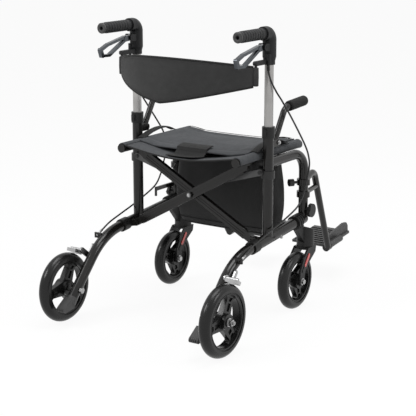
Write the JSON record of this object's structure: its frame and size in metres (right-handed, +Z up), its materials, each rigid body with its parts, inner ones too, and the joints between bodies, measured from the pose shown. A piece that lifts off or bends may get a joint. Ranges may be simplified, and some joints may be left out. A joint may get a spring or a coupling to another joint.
{
  "type": "rollator transport chair",
  "caption": "Folding walker that doubles as a push chair: crossed brace under a sling seat, braked handles, spoked wheels and casters, armrests and swing-away footrests.",
  "frame": {"origin": "on the floor, at the middle of the overall width and length", "axes": "+X to the sitter's right, +Y forward towards the footrests, +Z up"},
  "size_m": [0.615, 1.0002, 0.845],
  "materials": {
    "frame_paint": "satin black paint on steel and aluminium tube",
    "black_plastic": "matt black moulding",
    "bracket_plastic": "dark grey moulding",
    "grey_plastic": "mid grey ribbed moulding",
    "zinc_steel": "bright zinc plate",
    "link_steel": "grey plated steel",
    "cable_jacket": "black cable jacket",
    "silver_tube": "satin anodised",
    "handle_plastic": "dark grey moulding, textured grip",
    "lever_alloy": "bright alloy",
    "tyre": "black solid tyre",
    "rim_plastic": "satin black moulding",
    "foam": "black foam",
    "seat_fabric": "slate grey woven cloth",
    "back_fabric": "charcoal padded cloth",
    "bag_fabric": "black woven cloth"
  },
  "bodies": {
    "right_frame": {"right_rear_post": "frame_paint", "right_side_loop": "frame_paint", "right_lower_rail": "frame_paint", "right_rear_leg": "frame_paint", "right_clamps": "black_plastic", "right_fold_bracket": "bracket_plastic", "right_caster_head": "black_plastic", "right_kerb_pedal": "grey_plastic", "right_rear_axle": "zinc_steel", "right_brake_cable": "cable_jacket", "storage_bag": "bag_fabric"},
    "right_link_body": {"right_link": "link_steel"},
    "right_handle_body": {"right_handle_tube": "silver_tube", "right_handle": "handle_plastic", "backrest_band": "back_fabric"},
    "right_lever_body": {"right_brake_lever": "lever_alloy"},
    "right_brake_body": {"right_brake_arm": "zinc_steel"},
    "right_rear_wheel": {"right_rear_tyre": "tyre", "right_rear_rim": "rim_plastic"},
    "right_fork_body": {"right_caster_fork": "black_plastic"},
    "right_caster_wheel": {"right_caster_tyre": "tyre", "right_caster_rim": "rim_plastic"},
    "right_armrest_body": {"right_armrest": "frame_paint", "right_arm_foam": "foam"},
    "right_footrest_body": {"right_footrest_hanger": "frame_paint"},
    "right_footplate_body": {"right_footplate": "grey_plastic"},
    "left_frame": {"left_rear_post": "frame_paint", "left_side_loop": "frame_paint", "left_lower_rail": "frame_paint", "left_rear_leg": "frame_paint", "left_clamps": "black_plastic", "left_fold_bracket": "bracket_plastic", "left_caster_head": "black_plastic", "left_kerb_pedal": "grey_plastic", "left_rear_axle": "zinc_steel", "left_brake_cable": "cable_jacket", "side_hook": "frame_paint"},
    "left_link_body": {"left_link": "link_steel"},
    "left_handle_body": {"left_handle_tube": "silver_tube", "left_handle": "handle_plastic"},
    "left_lever_body": {"left_brake_lever": "lever_alloy"},
    "left_brake_body": {"left_brake_arm": "zinc_steel"},
    "left_rear_wheel": {"left_rear_tyre": "tyre", "left_rear_rim": "rim_plastic"},
    "left_fork_body": {"left_caster_fork": "black_plastic"},
    "left_caster_wheel": {"left_caster_tyre": "tyre", "left_caster_rim": "rim_plastic"},
    "left_armrest_body": {"left_armrest": "frame_paint", "left_arm_foam": "foam"},
    "left_footrest_body": {"left_footrest_hanger": "frame_paint"},
    "left_footplate_body": {"left_footplate": "grey_plastic"},
    "bar_b_body": {"cross_bar_b": "frame_paint", "left_seat_rail": "frame_paint", "seat_sling": "seat_fabric", "seat_pad": "seat_fabric"},
    "bar_a_body": {"cross_bar_a": "frame_paint", "right_seat_rail": "frame_paint", "cross_pivot_bolt": "zinc_steel"}
  },
  "joints": [
    {"name": "fold", "type": "hinge", "parent": "right_frame", "child": "bar_b_body", "pos_m": [0.194, -0.133, 0.25], "axis": [0, 1, 0], "range_deg": [0, 42], "deforming": ["seat_sling", "seat_pad", "backrest_band", "storage_bag"]},
    {"name": "cross_pivot", "type": "hinge", "parent": "bar_b_body", "child": "bar_a_body", "pos_m": [0, -0.142, 0.358], "axis": [0, 1, 0], "range_deg": [-84.5, 0.5]},
    {"name": "left_foot_pivot", "type": "hinge", "parent": "bar_a_body", "child": "left_frame", "pos_m": [-0.194, -0.151, 0.25], "axis": [0, 1, 0], "range_deg": [-0.5, 42.5]},
    {"name": "right_link_pivot", "type": "hinge", "parent": "right_frame", "child": "right_link_body", "pos_m": [0.212, -0.1216, 0.442], "axis": [0, 1, 0], "range_deg": [-0.5, 77.3]},
    {"name": "right_handle_height", "type": "slide", "parent": "right_frame", "child": "right_handle_body", "axis": [0, 0, 1], "range_m": [0, 0.09], "deforming": ["right_brake_cable"]},
    {"name": "right_brake_squeeze", "type": "hinge", "parent": "right_handle_body", "child": "right_lever_body", "pos_m": [0.225, -0.134, 0.79], "axis": [-1, 0, 0], "range_deg": [0, 12], "stiffness_Nm_per_rad": 1.5},
    {"name": "right_brake_shoe", "type": "hinge", "parent": "right_frame", "child": "right_brake_body", "pos_m": [0.2455, -0.318, 0.178], "axis": [1, 0, 0], "range_deg": [-0.2, 3.4]},
    {"name": "right_rear_wheel_spin", "type": "hinge", "parent": "right_frame", "child": "right_rear_wheel", "pos_m": [0.27, -0.4, 0.1], "axis": [1, 0, 0], "continuous": true},
    {"name": "right_caster_swivel", "type": "hinge", "parent": "right_frame", "child": "right_fork_body", "pos_m": [0.221, 0.124, 0.2], "axis": [0, 0, 1], "continuous": true},
    {"name": "right_caster_spin", "type": "hinge", "parent": "right_fork_body", "child": "right_caster_wheel", "pos_m": [0.221, 0.065, 0.085], "axis": [1, 0, 0], "continuous": true},
    {"name": "right_armrest_tilt", "type": "hinge", "parent": "right_frame", "child": "right_armrest_body", "pos_m": [0.225, -0.07, 0.521], "axis": [1, 0, 0], "range_deg": [0, 30]},
    {"name": "right_footrest_swing", "type": "hinge", "parent": "right_frame", "child": "right_footrest_body", "pos_m": [0.225, 0.099, 0.35], "axis": [0, 0, -1], "range_deg": [0, 90]},
    {"name": "right_footplate_flip", "type": "hinge", "parent": "right_footrest_body", "child": "right_footplate_body", "pos_m": [0.18, 0.345, 0.118], "axis": [0, 0.9945, 0.1045], "range_deg": [-0.5, 90.5]},
    {"name": "left_link_pivot", "type": "hinge", "parent": "left_frame", "child": "left_link_body", "pos_m": [-0.212, -0.1216, 0.442], "axis": [0, 1, 0], "range_deg": [-77.3, 0.5]},
    {"name": "left_handle_height", "type": "slide", "parent": "left_frame", "child": "left_handle_body", "axis": [0, 0, 1], "range_m": [-0.001, 0.091], "deforming": ["left_brake_cable"]},
    {"name": "left_brake_squeeze", "type": "hinge", "parent": "left_handle_body", "child": "left_lever_body", "pos_m": [-0.225, -0.134, 0.79], "axis": [-1, 0, 0], "range_deg": [0, 12], "stiffness_Nm_per_rad": 1.5},
    {"name": "left_brake_shoe", "type": "hinge", "parent": "left_frame", "child": "left_brake_body", "pos_m": [-0.2455, -0.318, 0.178], "axis": [1, 0, 0], "range_deg": [-0.2, 3.4]},
    {"name": "left_rear_wheel_spin", "type": "hinge", "parent": "left_frame", "child": "left_rear_wheel", "pos_m": [-0.27, -0.4, 0.1], "axis": [1, 0, 0], "continuous": true},
    {"name": "left_caster_swivel", "type": "hinge", "parent": "left_frame", "child": "left_fork_body", "pos_m": [-0.221, 0.124, 0.2], "axis": [0, 0, 1], "continuous": true},
    {"name": "left_caster_spin", "type": "hinge", "parent": "left_fork_body", "child": "left_caster_wheel", "pos_m": [-0.221, 0.065, 0.085], "axis": [1, 0, 0], "continuous": true},
    {"name": "left_armrest_tilt", "type": "hinge", "parent": "left_frame", "child": "left_armrest_body", "pos_m": [-0.225, -0.07, 0.521], "axis": [1, 0, 0], "range_deg": [0, 30]},
    {"name": "left_footrest_swing", "type": "hinge", "parent": "left_frame", "child": "left_footrest_body", "pos_m": [-0.225, 0.099, 0.35], "axis": [0, 0, 1], "range_deg": [0, 90]},
    {"name": "left_footplate_flip", "type": "hinge", "parent": "left_footrest_body", "child": "left_footplate_body", "pos_m": [-0.18, 0.345, 0.118], "axis": [0, 0.9945, 0.1045], "range_deg": [-90.5, 0.5]}
  ],
  "couplings": [
    {"joint": "cross_pivot", "follows": "fold", "ratio": -2},
    {"joint": "left_foot_pivot", "follows": "fold", "ratio": 1},
    {"joint": "right_link_pivot", "follows": "fold", "ratio": 1.8286},
    {"joint": "right_brake_shoe", "follows": "right_brake_squeeze", "ratio": 0.2667},
    {"joint": "right_footplate_flip", "follows": "fold", "ratio": 2.1429},
    {"joint": "left_link_pivot", "follows": "fold", "ratio": -1.8286},
    {"joint": "left_brake_shoe", "follows": "left_brake_squeeze", "ratio": 0.2667},
    {"joint": "left_footplate_flip", "follows": "fold", "ratio": -2.1429},
    {"joint": "left_handle_height", "follows": "right_handle_height", "ratio": 1}
  ]
}
